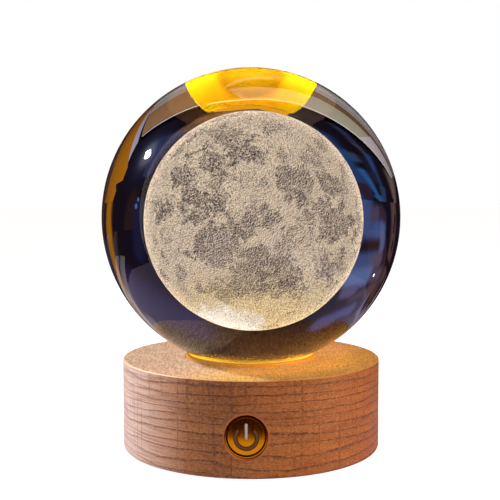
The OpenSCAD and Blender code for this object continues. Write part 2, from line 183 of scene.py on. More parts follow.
# %% A mesh from a grid
def grid_mesh(name, points, poles=(None, None), around_closed=True):
    """points[v, u] becomes a mesh. A pole is one point, met by a fan of triangles.

    Quad (v, u) joins points (v, u), (v, u + 1), (v + 1, u + 1), (v + 1, u); u wraps round when the
    grid is closed around.
    """
    rows, around = points.shape[:2]
    flat = points.reshape(-1, 3)
    v, u = np.meshgrid(np.arange(rows - 1), np.arange(around - (not around_closed)), indexing="ij")
    here, beside = v * around + u, v * around + (u + 1) % around
    faces = np.stack([here, beside, beside + around, here + around], -1).reshape(-1, 4).tolist()
    column = np.arange(around)
    for row, pole in ((0, poles[0]), (rows - 1, poles[1])):
        if pole is not None:
            flat = np.vstack([flat, pole])
            tip = np.full(around, len(flat) - 1)
            near, far = row * around + column, row * around + (column + 1) % around
            faces += np.stack([tip, far, near] if row == 0 else [tip, near, far], -1).tolist()
    mesh = bpy.data.meshes.new(name)
    mesh.from_pydata(flat, [], faces)
    mesh.polygons.foreach_set("use_smooth", np.ones(len(mesh.polygons), bool))
    mesh.validate()
    return mesh


def flat_mesh(name, corners):
    """One flat face through the corners, in order."""
    mesh = bpy.data.meshes.new(name)
    mesh.from_pydata(corners, [], [range(len(corners))])
    return mesh


def place(name, mesh, finish):
    """Puts a mesh into the scene as an object at the origin, with one finish."""
    made = bpy.data.objects.new(name, mesh)
    mesh.materials.append(finish)
    bpy.context.scene.collection.objects.link(made)
    return made


# %% [markdown]
# ## Round shapes
# A ball is a function of longitude and latitude. Rows run from the lowest to the highest point, so
# that the faces point outwards.


# %% Points on a ball
def directions(lat, around):
    """(cos lat cos lon, cos lat sin lon, sin lat), a row for each lat and a column for each lon."""
    lat = lat[:, None]
    lon = np.linspace(0, 2 * np.pi, around, endpoint=False)[None, :]
    flat = [np.cos(lat) * np.cos(lon), np.cos(lat) * np.sin(lon)]
    return np.stack([*flat, np.sin(lat) + 0 * lon], -1)


def whole_ball(rows, around):
    """Directions from one pole to the other, without the poles."""
    return directions(np.linspace(-np.pi / 2, np.pi / 2, rows + 2)[1:-1], around)


def tips(centre, radius):
    """The lowest and the highest point of a ball: centre - radius and centre + radius in z."""
    up = np.array([0, 0, radius])
    return centre - up, centre + up


# %% [markdown]
# ## Crystal glass
# The ball is optical glass, ground and polished to a mirror. Its refractive index of 1.52 does all
# the work: it magnifies the engraving and bends the room into bands along the ball's rim.

# %% Crystal glass
ball_low, ball_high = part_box("crystal_ball")
ball_radius = 40 * MM
ball_centre = np.array([0.0, 0.0, (ball_low.z + ball_high.z) / 2])


def polished_glass(tree):
    """Clear glass with no roughness. The faint tint is the grey of thick optical glass."""
    clear = {"Roughness": 0.0, "IOR": 1.52, "Transmission Weight": 1.0}
    return add(tree, "BsdfPrincipled", {"Base Color": linear("F2F3F8"), **clear})


crystal = new_finish("polished crystal glass", polished_glass)
points = ball_radius * whole_ball(190, 384) + ball_centre
glass_mesh = grid_mesh("glass_ball", points, tips(ball_centre, ball_radius))
glass_ball = place("glass_ball", glass_mesh, crystal)
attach(glass_ball, "ball")
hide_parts("crystal_ball")
print("glass ball, mm:", 2 * ball_radius / MM)

# %% [markdown]
# ## The engraved moon
# A laser draws the moon inside the glass as a cloud of tiny cracks. Dense cracks scatter light and
# look pale, sparse ones look grey, so the dark seas are places with fewer cracks. Here the cloud is
# a ball of its own with slightly sunken seas. Their ragged shores need fractal noise, which is
# worked out here on whole arrays, so that the mesh and the material can share it.

# %% Noise on whole arrays
rng = np.random.default_rng(7)
LATTICE = rng.random((32, 32, 32))


def value_noise(p):
    """Smooth noise from 0 to 1: the eight corners of p's lattice cell, blended by 3t^2 - 2t^3."""
    cell = np.floor(p).astype(int)
    t = p - cell
    t = t * t * (3 - 2 * t)
    total = np.zeros(p.shape[:-1])
    for corner in np.ndindex(2, 2, 2):
        at = (cell + corner) % len(LATTICE)
        weight = np.prod(np.where(corner, t, 1 - t), -1)
        total += weight * LATTICE[at[..., 0], at[..., 1], at[..., 2]]
    return total


def fractal(p, octaves=4):
    """Sum of value_noise at doubled scales and halved strengths, from 0 to 1."""
    total, size = np.zeros(p.shape[:-1]), 0.0
    for k in range(octaves):
        total += value_noise(p * 2**k + 7.3 * k) / 2**k
        size += 1 / 2**k
    return total / size


print("lattice of noise:", LATTICE.shape)

# %% [markdown]
# ## Where the seas are
# The seas could come from noise alone, but then they would lie anywhere. So each is a soft oval at
# its own place on the globe, as the photograph shows it, and noise only moves the shores. The last
# five are on the far side and are free inventions.

# %% The moon's seas
# Longitude from the front towards +X, latitude, half width, half height (degrees), and depth.
SEAS = [
    (-52, 28, 9, 8, 0.9), (-31, 39, 6, 5, 0.9), (-41, 17, 5, 5, 0.7), (-30, 12, 15, 8, 1),
    (-63, 6, 7, 6, 0.8), (-21, -13, 12, 11, 0.95), (-4, -1, 6, 5, 1.1), (5, 9, 5, 4, 0.8),
    (29, 26, 10, 10, 1), (33, 13, 6, 6, 1), (59, 20, 10, 7, 1), (48, 7, 6, 5, 0.8),
    (60, -2, 14, 7, 0.8), (-17, 57, 16, 6, 0.45), (-3, 44, 13, 7, 0.45), (11, -34, 20, 14, 0.42),
    (2, -17, 8, 5, 0.5), (81, -10, 3, 3, 0.7), (-43, -18, 5, 4, 0.7), (-25, -47, 13, 7, 0.3),
    (58, -24, 13, 10, 0.25), (-47, 47, 7, 2, 0.6), (-22, 28, 5, 7, 0.5), (13, 3, 5, 6, 0.5),
    (150, 30, 14, 8, 0.7), (-150, -20, 16, 9, 0.6), (185, -35, 8, 8, 0.8), (120, -5, 9, 6, 0.7),
    (-115, 25, 10, 8, 0.7),
]
shore_sway = 0.34
shore_fray = 0.24
grey_patches = 0.3


def smooth(x, low, high):
    """0 below low, 1 above high, and 3t^2 - 2t^3 in between."""
    t = np.clip((x - low) / (high - low), 0, 1)
    return t * t * (3 - 2 * t)


def sea_depth(way):
    """How dark each direction is, 0 to 1: the deepest sea there, with its shores moved by noise."""
    shift = np.stack([fractal(way * 5 + k * 11) - 0.5 for k in range(3)], -1)
    fine = np.stack([fractal(way * 18 + k * 5, 5) - 0.5 for k in range(3)], -1)
    moved = way + shore_sway * shift + shore_fray * fine
    moved /= np.linalg.norm(moved, axis=-1, keepdims=True)
    lon = np.degrees(np.arctan2(moved[..., 0], -moved[..., 1]))
    lat = np.degrees(np.arcsin(np.clip(moved[..., 2], -1, 1)))
    deep = np.zeros(way.shape[:-1])
    for sea_lon, sea_lat, wide, high, depth in SEAS:
        east = (lon - sea_lon + 180) % 360 - 180
        east = east * np.cos(np.radians(sea_lat))
        off = np.hypot(east / wide, (lat - sea_lat) / high)
        deep = np.maximum(deep, depth * (1 - smooth(off, 0.9, 1.25)))
    mottle = fractal(way * 15 + 3, 5)
    grey = grey_patches * smooth(fractal(way * 6 + 20, 5), 0.44, 0.68)
    deep = deep * (0.5 + 0.9 * mottle) + grey * (1 - 0.6 * deep)
    return np.clip(deep, 0, 1)


print("seas:", len(SEAS))

# %% [markdown]
# ## The cloud of cracks
# Up close the engraving is pale grains with dark gaps between them, more gaps where a sea is, and
# fine threads that run through both. The grains are drawn in relief with painted light and shade: a
# pattern minus the same pattern a short step further on is a painted highlight on one flank of a
# lump and painted shade on the other. The real cracks are finer than a tenth of a millimetre, and
# are drawn at 0.15 mm so that they show.

# %% Cracks, ridges and threads
crack_mm = 0.15
ridge_mm = 1.5
thread_mm = 1.8
# the step that sets which flank of a grain gets painted highlight and which painted shade
slant_mm = (-0.07, -0.02, 0.07)
crack_gain = 8.5  # how much stronger the cracks' relief is than the ridges'


def in_relief(tree, size_mm, *look):
    """A pattern, and its relief: the pattern minus itself a step along slant_mm."""
    pattern = lumps(tree, size_mm, *look)
    beside = lumps(tree, size_mm, *look, slant_mm)
    return pattern, add(tree, "Math", [pattern, beside], operation="SUBTRACT")


def threads(tree, crack, sea):
    """Pale threads where a noise is near 0.5, and dark ones, most in the seas, near 0.44."""
    bent = lumps(tree, thread_mm, 5.0, 0.6, 1.2)
    near = add(tree, "MapRange", [apart(tree, bent, 0.5), 0.0, 0.03, 0.7, 0.0])
    broken = add(tree, "MapRange", [crack, 0.40, 0.55, 1.0, 0.0])
    thread = add(tree, "Math", [near, broken], operation="MULTIPLY")
    near = add(tree, "MapRange", [apart(tree, bent, 0.44), 0.0, 0.018, 0.8, 0.0])
    in_sea = add(tree, "MapRange", [sea, 0.0, 0.4, 0.15, 1.0])
    return thread, add(tree, "Math", [near, in_sea], operation="MULTIPLY")


def crack_cloud(tree):
    """Relief, and the cloud's colour: pale less the sea's depth plus the relief, through a ramp."""
    crack, fine = in_relief(tree, crack_mm, 2.5, 0.7, 0.4)
    ridge, coarse = in_relief(tree, ridge_mm, 3.0, 0.6, 0.8)
    relief = add(tree, "Math", [fine, crack_gain, coarse], operation="MULTIPLY_ADD")
    patch = add(tree, "MapRange", [ridge, 0.3, 0.7, -0.16, 0.16])
    painted = add(tree, "Attribute", attribute_name="sea").outputs["Fac"]
    sea = add(tree, "Math", [painted, patch], operation="ADD")
    rougher = add(tree, "MapRange", [sea, 0.0, 0.5, 0.62, 1.3])
    lit = add(tree, "Math", [relief, rougher], operation="MULTIPLY")
    pale = add(tree, "MapRange", [sea, 0.16, 0.42, 0.71, 0.10])
    cloud = add(tree, "ValToRGB", [add(tree, "Math", [pale, lit], operation="ADD")])
    ramp = cloud.color_ramp.elements
    ramp[0].position, ramp[0].color = 0.0, linear("3E3A40")
    ramp[1].position, ramp[1].color = 1.0, linear("F3E6CC")
    for spot, code in ((0.3, "7A6C68"), (0.55, "B09C8A"), (0.75, "D8C3A9")):
        ramp.new(spot).color = linear(code)
    for share, code in zip(threads(tree, crack, sea), ("F2E4C8", "4A4446")):
        layers = {SHARE: share, UNDER: cloud, OVER: linear(code)}
        cloud = add(tree, "Mix", layers, data_type="RGBA")
    return lit, cloud


print("engraving drawn at, mm:", crack_mm, ridge_mm, thread_mm)

# %% [markdown]
# ## How the moon takes its light
# The real cracks are lit from below by the lamp and from all round by the room, and pass the light
# on to each other. A plain surface would need many bounces through the glass for that, so most of
# the moon's light is given to the material itself: a dim glow of its own colour everywhere, a warm
# one towards its foot and a white one where the lamp shines straight in. Seen along its edge the
# cloud is deeper, so it scatters more light there, as a sheen does: that is the pale rim.

# %% Engraved moon
dimmed = 0.94  # share of black in what the cloud reflects, as its light is mostly its own


def engraving(tree):
    """Glow in the cloud's colour, warmer at the foot, and white where the lamp shines in."""
    lit, cloud = crack_cloud(tree)
    foot = add(tree, "Attribute", attribute_name="foot").outputs["Fac"]
    glow = add(tree, "Attribute", attribute_name="glow").outputs["Fac"]
    layers = {SHARE: foot, UNDER: linear("FFF7F2"), OVER: linear("FFF7D6")}
    warm = add(tree, "Mix", layers, data_type="RGBA")
    layers = {SHARE: 1.0, UNDER: cloud, OVER: warm}
    shown = add(tree, "Mix", layers, data_type="RGBA", blend_type="MULTIPLY")
    speckled = add(tree, "MapRange", [lit, -0.6, 0.1, 0.3, 1.0])
    white = add(tree, "Math", [glow, speckled], operation="MULTIPLY")
    layers = {SHARE: white, UNDER: shown, OVER: linear("FFFBEE")}
    shown = add(tree, "Mix", layers, data_type="RGBA")
    level = add(tree, "MapRange", [foot, 0.0, 1.0, 0.98, 1.0])
    edge = add(tree, "LayerWeight", {"Blend": 0.5}).outputs["Facing"]
    rim = add(tree, "MapRange", [edge, 0.62, 0.95, 0.0, 0.75])
    level = add(tree, "Math", [level, rim], operation="ADD")
    layers = {SHARE: dimmed, UNDER: cloud, OVER: linear("000000")}
    settings = {
        "Base Color": add(tree, "Mix", layers, data_type="RGBA"),
        "Roughness": 1.0,
        "Specular IOR Level": 0.0,
        "Emission Color": shown,
        "Emission Strength": level,
    }
    return add(tree, "BsdfPrincipled", settings)


moon_finish = new_finish("laser engraving in glass", engraving)
print("nodes in the engraving:", len(moon_finish.node_tree.nodes))

# %% [markdown]
# ## The moon's ball
# The cloud ends a little inside the hollow that the construction model keeps for it, and its seas
# are sunk by a tenth of a millimetre. Three values are painted on its points for the material: how
# deep the sea is, how near the foot, and how near the place where the lamp shines in. That place
# is below and a little to the left, as the lamp is.

# %% The moon's ball
moon_low, moon_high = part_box("moon_engraving")
moon_centre = np.array([(moon_low.x + moon_high.x) / 2, 0.0, (moon_low.z + moon_high.z) / 2])
moon_radius = (moon_high.z - moon_low.z) / 2
inset = 0.1 * MM
pole_inset = 0.15 * MM
sea_sunk = 0.12 * MM
bumps = 0.05 * MM

moon_way = whole_ball(218, 440)
moon_sea = sea_depth(moon_way)
sunk = sea_sunk * moon_sea + bumps * fractal(moon_way * 14)
moon_points = (moon_radius - inset - sunk)[..., None] * moon_way + moon_centre
moon_mesh = grid_mesh("engraved_moon", moon_points, tips(moon_centre, moon_radius - pole_inset))

spot = np.array([-0.23, -0.17, -0.958])
spot_near = moon_way @ (spot / np.linalg.norm(spot)) + 0.10 * (fractal(moon_way * 12 + 9) - 0.5)
moon_foot = smooth(-moon_way[..., 2], 0.35, 0.98)
moon_glow = 0.95 * smooth(spot_near, 0.915, 0.99)
for name, values in (("sea", moon_sea), ("foot", moon_foot), ("glow", moon_glow)):
    flat = np.concatenate([values.ravel(), [values[0].mean(), values[-1].mean()]])
    painted = moon_mesh.attributes.new(name, "FLOAT", "POINT")
    painted.data.foreach_set("value", flat.astype(np.float32))
engraved_moon = place("engraved_moon", moon_mesh, moon_finish)
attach(engraved_moon, "ball")
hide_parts("moon_engraving")
print("moon radius, mm:", round(moon_radius / MM, 2), "faces:", len(moon_mesh.polygons))

# %% [markdown]
# ## Amber light
# Seven small chips under a frosted disc light the ball from below, and the moulded silicone ring
# round the ball's foot carries the light out to a bright line where it meets the glass. They are
# given light of their own, at about the level at which the eye sees them. The grain of the chips'
# phosphor is too fine to show, so it is drawn coarser.

# %% Amber silicone, frosted disc and light chips
_, ring_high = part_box("seat_ring")
ring_r_mm = ring_high.x / MM


def lit_silicone(tree):
    """Milky amber silicone lit from inside: a bright line by the glass, an amber side."""
    out = away_mm(tree)
    inner = add(tree, "MapRange", [out, ring_r_mm - 0.95, ring_r_mm - 0.75, 1.0, 0.0])
    milky = add(tree, "MapRange", [lumps(tree, 0.3, 4.0, 0.7), 0.3, 0.7, 0.0, 1.0])
    layers = {SHARE: milky, UNDER: linear("9C6418"), OVER: linear("E2A544")}
    side = add(tree, "Mix", layers, data_type="RGBA")
    layers = {SHARE: inner, UNDER: side, OVER: linear("FFC81E")}
    settings = {
        "Base Color": linear("A8702A"),
        "Roughness": 0.45,
        "Emission Color": add(tree, "Mix", layers, data_type="RGBA"),
        "Emission Strength": add(tree, "MapRange", [inner, 0.0, 1.0, 0.5, 1.1]),
    }
    return add(tree, "BsdfPrincipled", settings)


def lit_window(base, low, high, grain_mm, light, roughness=0.5):
    """Frosting or phosphor lit from behind: its glow runs between two shades over its grain."""

    def surface(tree):
        layers = {SHARE: lumps(tree, grain_mm), UNDER: linear(low), OVER: linear(high)}
        settings = {
            "Base Color": linear(base),
            "Roughness": roughness,
            "Emission Color": add(tree, "Mix", layers, data_type="RGBA"),
            "Emission Strength": light,
        }
        return add(tree, "BsdfPrincipled", settings)

    return surface


lit_disc = lit_window("FFD58A", "FF9632", "FFB468", 0.6, 1.5, 0.6)
lit_chip = lit_window("F2C43C", "FFC02A", "FFE08A", 0.12, 4.0)
print("seat ring, mm across:", round(2 * ring_r_mm, 2))

# %% [markdown]
# ## Beech
# The base is turned from a flat board, so its growth layers lie almost level: they show as fine,
# slightly wavy dark lines around the side. The lines are worked out as height over layer thickness
# plus a slow noise, and the fraction left over darkens towards each layer's end. The left side gets
# a painted sheen of the key light: it is paler, with fainter lines and fewer rays.

# %% Growth lines
layer_mm = 2.1
# x in mm where the painted sheen of the key light on the left side begins to fade
painted_sheen_mm = -29


def growth_lines(tree, high, x):
    """Fraction of high / layer_mm + wave, darker to a layer's end, fainter in the painted sheen."""
    slow = add(tree, "MapRange", [lumps(tree, (30.0, 30.0, 5.0)), 0.25, 0.75, -0.9, 0.9])
    quick = add(tree, "MapRange", [lumps(tree, (3.0, 3.0, 1.2), 3.0), 0.25, 0.75, -0.1, 0.1])
    wave = add(tree, "Math", [slow, quick], operation="ADD")
    count = add(tree, "Math", [high, 1 / layer_mm, wave], operation="MULTIPLY_ADD")
    phase = add(tree, "Math", [count], operation="FRACT")
    edge = add(tree, "MapRange", [phase, 0.76, 0.92, 0.0, 0.95])
    body = add(tree, "MapRange", [phase, 0.0, 1.0, 0.0, 0.2])
    fades = add(tree, "MapRange", [lumps(tree, (16.0, 16.0, 1.6), 3.0), 0.35, 0.6, 0.55, 1.0])
    line = add(tree, "Math", [edge, fades, body], operation="MULTIPLY_ADD")
    # growth lines are fainter under the painted sheen on the left
    heavier = add(tree, "MapRange", [x, painted_sheen_mm * MM, -12 * MM, 0.6, 1.0])
    return add(tree, "Math", [line, heavier], operation="MULTIPLY")


print("growth layers, mm:", layer_mm)

# %% [markdown]
# ## The side and the top of the wood
# Upright rays and short fibres break the lines up on the side. The top lies along a layer, so it
# has no lines: it is paler, partly as painted light from above, with fine fibres along Y, and its
# front right is painted yellower, as a painted amber glow where the ball's shadow falls.


# %% Beech, side and top
def beech_side(tree, line, x):
    """Warm brown, then a painted sheen on the left, growth lines, short fibres and upright rays."""
    tone = add(tree, "MapRange", [lumps(tree, (7.0, 7.0, 1.5), 4.0, 0.65), 0.3, 0.7, 0.0, 1.0])
    layers = {SHARE: tone, UNDER: linear("8A4C18"), OVER: linear("AC6C28")}
    side = add(tree, "Mix", layers, data_type="RGBA")
    # painted sheen: a paler tone where the key light grazes the left side
    painted_sheen = add(tree, "MapRange", [x, painted_sheen_mm * MM, -14 * MM, 0.7, 0.0])
    fibre = add(tree, "MapRange", [lumps(tree, (5.0, 5.0, 0.2), 3.0, 0.6), 0.48, 0.60, 0.0, 0.5])
    ray = add(tree, "MapRange", [lumps(tree, (0.4, 0.4, 30.0), 2.0), 0.56, 0.60, 0.0, 0.8])
    broken = add(tree, "MapRange", [lumps(tree, (2.0, 2.0, 3.0), 2.0), 0.4, 0.55, 0.2, 1.0])
    fewer = add(tree, "MapRange", [x, -32 * MM, -22 * MM, 0.2, 1.0])
    for share in (broken, fewer):
        ray = add(tree, "Math", [ray, share], operation="MULTIPLY")
    over = ((painted_sheen, "DACAC6"), (line, "4E220E"), (fibre, "7A4426"), (ray, "6A3820"))
    for share, code in over:
        layers = {SHARE: share, UNDER: side, OVER: linear(code)}
        side = add(tree, "Mix", layers, data_type="RGBA")
    return side


def beech_top(tree, x, y):
    """Fibres between two shades; both turn yellower as x - y grows, as a painted amber glow."""
    ahead = add(tree, "Math", [x, y], operation="SUBTRACT")
    # painted amber glow of the seat's light, where the ball's shadow falls on the top
    painted_amber_glow = add(tree, "MapRange", [ahead, 6 * MM, 28 * MM, 0.0, 0.9])
    shades = []
    # the top's shades are paler than the side's, partly as painted light from above
    for plain, yellower in (("A88062", "9E740C"), ("E2C6AC", "D8B434")):
        layers = {SHARE: painted_amber_glow, UNDER: linear(plain), OVER: linear(yellower)}
        shades.append(add(tree, "Mix", layers, data_type="RGBA"))
    across = add(tree, "MapRange", [lumps(tree, (0.26, 1.2, 1.2), 3.0, 0.7), 0.4, 0.6, 0.0, 1.0])
    layers = {SHARE: across, UNDER: shades[0], OVER: shades[1]}
    return add(tree, "Mix", layers, data_type="RGBA")


# %% [markdown]
# ## Satin oil
# The oil leaves a soft gloss and a little sheen, and lets the pores be felt. A pale painted
# highlight runs along the sharp top edge, where it catches the light, small flecks lie over
# everything, and round the button the bevelled edge of its hole cuts across the fibres and shows
# redder. Real pores are a tenth of a millimetre wide or less, and are drawn at 0.3 mm so that they
# show.

# %% Oiled beech
fleck_mm = 0.35
pore_mm = 0.3
wood_top_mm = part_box("wood_base")[1].z / MM
sleeve_low, sleeve_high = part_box("button_sleeve")
button_z_mm = (sleeve_low.z + sleeve_high.z) / 2 / MM
sleeve_r_mm = (sleeve_high.x - sleeve_low.x) / 2 / MM


def oiled_beech(tree):
    """Side and top, a painted highlight on the edge, flecks, the button's bevel, pores in relief.
    """
    where = add(tree, "SeparateXYZ", [add(tree, "TexCoord").outputs["Object"]])
    x, y, z = where.outputs
    high = add(tree, "Math", [z, 1 / MM], operation="MULTIPLY")
    line = growth_lines(tree, high, x)
    # painted highlight: a pale band along the top edge, where it catches the light
    painted_edge_highlight = add(tree, "MapRange", [high, wood_top_mm - 0.3, wood_top_mm - 0.2, 0.0, 0.7])
    level = add(tree, "MapRange", [high, wood_top_mm - 0.12, wood_top_mm - 0.04, 0.0, 1.0])
    speck = lumps(tree, (fleck_mm, fleck_mm, 0.16), 3.0, 0.7)
    fleck = add(tree, "MapRange", [speck, 0.35, 0.65, -0.1, 0.3])
    from_button = away_mm(tree, (0, 0, button_z_mm), (1, 0, 1))
    bevel = add(tree, "MapRange", [from_button, sleeve_r_mm + 0.4, sleeve_r_mm + 0.6, 0.8, 0.0])
    wood = beech_side(tree, line, x)
    top = beech_top(tree, x, y)
    pale, tan, red = linear("F0C890"), linear("DDB18F"), linear("B86A44")
    for share, over in ((painted_edge_highlight, pale), (level, top), (fleck, tan), (bevel, red)):
        wood = add(tree, "Mix", {SHARE: share, UNDER: wood, OVER: over}, data_type="RGBA")
    pore = lumps(tree, (pore_mm, pore_mm, 0.16), 3.0, 0.7)
    rough = add(tree, "Math", [line, -0.5, pore], operation="MULTIPLY_ADD")
    settings = {
        "Base Color": wood,
        "Roughness": 0.45,
        "Normal": add(tree, "Bump", {"Strength": 0.8, "Distance": 0.1 * MM, "Height": rough}),
        "Sheen Weight": 0.12,
        "Sheen Roughness": 0.4,
        "Sheen Tint": linear("FFEBE4"),
    }
    return add(tree, "BsdfPrincipled", settings)


print("wood top at, mm:", round(wood_top_mm, 2), "button at:", round(button_z_mm, 2))

# %% [markdown]
# ## Metals, plastics and the rest
# The fittings share one recipe: a base colour that varies a little with noise at the scale of the
# real surface, and a roughness for how that surface was made. A grain too fine to show is drawn
# coarser.


# %% Plain finishes with a real grain
def mottled(name, low, high, grain_mm, roughness, metallic=0.0, bump_mm=0.0):
    """A finish whose colour runs between two shades over a grain of grain_mm."""

    def surface(tree):
        grain = lumps(tree, grain_mm, 3.0)
        layers = {SHARE: grain, UNDER: linear(low), OVER: linear(high)}
        tone = add(tree, "Mix", layers, data_type="RGBA")
        settings = {"Base Color": tone, "Roughness": roughness, "Metallic": metallic}
        if bump_mm:
            relief = {"Strength": 0.4, "Distance": bump_mm * MM, "Height": grain}
            settings["Normal"] = add(tree, "Bump", relief)
        return add(tree, "BsdfPrincipled", settings)

    return new_finish(name, surface)


# %% [markdown]
# ## The power mark
# The mark is a ring and a bar cut into the button and filled with enamel. Its groove's walls get
# painted shade, so the shade depends on how far a point is from the groove's middle line.

# %% Filled engraving of the power mark
mark_low, mark_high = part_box("button_ring_mark")
bar_low, bar_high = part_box("button_bar_mark")
mark_r_mm = (mark_high.x - mark_low.x) / 2 / MM
mark_z_mm = mark_low.z / MM + mark_r_mm
line_mm = (bar_high.x - bar_low.x) / MM


def filled_mark(name, low, high, across):
    """Enamel in a groove: across is 0 at its middle and 1 at its walls, which get painted shade."""

    def surface(tree):
        layers = {SHARE: lumps(tree, 0.3), UNDER: linear(low), OVER: linear(high)}
        fill = add(tree, "Mix", layers, data_type="RGBA")
        # painted shade at the groove's walls
        painted_wall_shade = add(tree, "MapRange", [across(tree), 0.5, 0.75, 0.0, 0.9])
        layers = {SHARE: painted_wall_shade, UNDER: fill, OVER: linear("200E06")}
        tone = add(tree, "Mix", layers, data_type="RGBA")
        settings = {"Base Color": tone, "Roughness": 0.5, "Specular IOR Level": 0.2}
        return add(tree, "BsdfPrincipled", settings)

    return new_finish(name, surface)


def across_ring(tree):
    """|distance from the ring's middle line| over half the groove's width."""
    out = away_mm(tree, (0, 0, mark_z_mm), (1, 0, 1))
    off = apart(tree, out, mark_r_mm - line_mm / 2)
    return add(tree, "Math", [off, line_mm / 2], operation="DIVIDE")


def across_bar(tree):
    """|x| over half the groove's width."""
    off = away_mm(tree, (0, 0, 0), (1, 0, 0))
    return add(tree, "Math", [off, line_mm / 2], operation="DIVIDE")


print("power mark, mm across:", round(2 * mark_r_mm, 2), "line:", round(line_mm, 2))

# %% [markdown]
# ## Gold plated brass
# The button and its sleeve are turned brass, brushed and plated. Brushing leaves soft streaks,
# which are finer than the 0.12 mm drawn here so that they show. Dark lines of painted shade lie in
# the gap round the cap and along the sleeve's rim.

# %% Gold plated brass
cap_low, cap_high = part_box("button_cap")
cap_r_mm = (cap_high.x - cap_low.x) / 2 / MM
brush_mm = 0.12


def gold(tree):
    """Gold plate, brushed upright, with painted shade in the gap round the cap and at the rim."""
    brushed = lumps(tree, (brush_mm, brush_mm, 1.5), 3.0)
    layers = {SHARE: brushed, UNDER: linear("CE8C0C"), OVER: linear("EEAC20")}
    plate = add(tree, "Mix", layers, data_type="RGBA")
    out = away_mm(tree, (0, 0, button_z_mm), (1, 0, 1))
    # painted shade in the gaps round the cap and at the sleeve's rim
    gap = add(tree, "MapRange", [apart(tree, out, cap_r_mm), 0.04, 0.12, 0.9, 0.0])
    rim = add(tree, "MapRange", [out, sleeve_r_mm - 0.2, sleeve_r_mm - 0.1, 0.0, 0.95])
    painted_gap_shade = add(tree, "Math", [gap, rim], operation="MAXIMUM")
    layers = {SHARE: painted_gap_shade, UNDER: plate, OVER: linear("1E0E04")}
    tone = add(tree, "Mix", layers, data_type="RGBA")
    rough = add(tree, "MapRange", [brushed, 0.3, 0.7, 0.09, 0.16])
    return add(tree, "BsdfPrincipled", {"Base Color": tone, "Metallic": 1.0, "Roughness": rough})


print("button cap, mm across:", round(2 * cap_r_mm, 2))

# %% [markdown]
# ## Which piece has which finish
# The construction model's record names a material slot for every piece. One table from slot to
# finish dresses all of them, apart from the glass and the engraving, which new pieces stand for.
# Solder mask is an even gloss lacquer. Moulded nylon has a satin skin with the faint grain of its
# mould, and the cover has the fine pits of a spark-eroded one. Zinc plate is grey and mottled,
# drawn steel is bright, cell foil shines in broad ripples, ground ferrite is dull, vinyl is satin,
# foam is open and chalky, and rubber is matt.

# %% Every slot's finish
# mottled: name, its two shades, grain in mm, roughness, then metallic and bump in mm if not 0.
FINISHES = {
    "beech_wood": new_finish("oiled beech", oiled_beech),
    "amber_silicone": new_finish("lit amber silicone", lit_silicone),
    "frosted_diffuser": new_finish("lit frosted disc", lit_disc),
    "light_chip": new_finish("lit phosphor window", lit_chip),
    "white_board": mottled("white solder mask", "D9DAD6", "E6E6E2", 2.0, 0.35),
    "screw_steel": mottled("zinc plated steel", "8E8F91", "B4B5B7", 0.4, 0.3, 1.0),
    "wire_sleeve": mottled("wire sleeve vinyl", "2A2020", "3A2C2A", 1.0, 0.45),
    "gold_brass": new_finish("gold plated brass", gold),
    "brown_enamel": filled_mark("brown enamel fill", "5E3E2C", "72503C", across_ring),
    "pale_enamel": filled_mark("pale enamel fill", "B0AEBE", "C6C4D4", across_bar),
    "dark_plastic": mottled("black moulded nylon", "131313", "1E1E1E", 0.3, 0.5, 0.0, 0.02),
    "green_board": mottled("green solder mask", "0F4A26", "16602F", 2.0, 0.3),
    "coil_ferrite": mottled("ground ferrite", "2C2C2E", "3C3C3F", 0.2, 0.65),
    "ivory_plastic": mottled("ivory moulded nylon", "E2D9C0", "EFE7D2", 0.6, 0.5),
    "port_steel": mottled("drawn stainless steel", "A8A9AB", "C6C7C9", 0.5, 0.25, 1.0),
    "cell_foil": mottled("laminated cell foil", "AEB2B8", "C8CBD0", 3.0, 0.35, 0.8),
    "foam_pad": mottled("adhesive foam", "D5D5CF", "E6E6E0", 0.25, 0.9, 0.0, 0.05),
    "cover_plastic": mottled(
        "spark textured cover plastic", "241F1C", "322C28", 0.15, 0.6, 0.0, 0.02
    ),
    "foot_rubber": mottled("matt rubber", "171616", "232121", 0.2, 0.8, 0.0, 0.01),
}
for part in frame["record"]["subparts"]:
    finish = FINISHES.get(part["material_slot"])
    if finish:
        slots = nodes[part["node"]].data.materials
        slots.clear()
        slots.append(finish)
print("finishes:", len(FINISHES))

# %% [markdown]
# ## Room and light
# The floor and the room are plain and pale. A strength of 1 is white, so what the camera, a mirror
# or the glass sees directly is set near 1, while the light that falls on the lamp stays low.

# %% World and floor
world = bpy.data.worlds.new("pale room")
bpy.context.scene.world = world
world.use_nodes = True
room = world.node_tree
room.nodes.clear()


def seen_directly(tree):
    """1 for rays from the camera, from a mirror or through glass, else 0."""
    path = add(tree, "LightPath").outputs
    direct = [path["Is Camera Ray"], path["Is Glossy Ray"]]
    first = add(tree, "Math", direct, operation="MAXIMUM")
    return add(tree, "Math", [first, path["Is Transmission Ray"]], operation="MAXIMUM")


plain = add(room, "Background", [linear("FFC69E"), 0.21])
white = add(room, "Background", [linear("FFFFFF"), 1.0])
seen = add(room, "MixShader", [seen_directly(room), plain, white])
add(room, "OutputWorld", {"Surface": seen})


def pale_floor(tree):
    """White paint. Seen directly it is lifted to white, and the lamp's shadow still darkens it."""
    paint = add(tree, "BsdfDiffuse", [linear("D8D8D8")])
    shade = add(tree, "BsdfDiffuse", [linear("8C8C8C")])
    lift = add(tree, "Emission", [linear("FFFFFF"), 0.96])
    lifted = add(tree, "AddShader", [shade, lift])
    return add(tree, "MixShader", [seen_directly(tree), paint, lifted])


floor_half = 4.0
corners = floor_half * np.array([[-1, -1, 0], [1, -1, 0], [1, 1, 0], [-1, 1, 0]], float)
floor = place("floor", flat_mesh("floor", corners), new_finish("pale painted floor", pale_floor))
print("floor, m across:", 2 * floor_half)

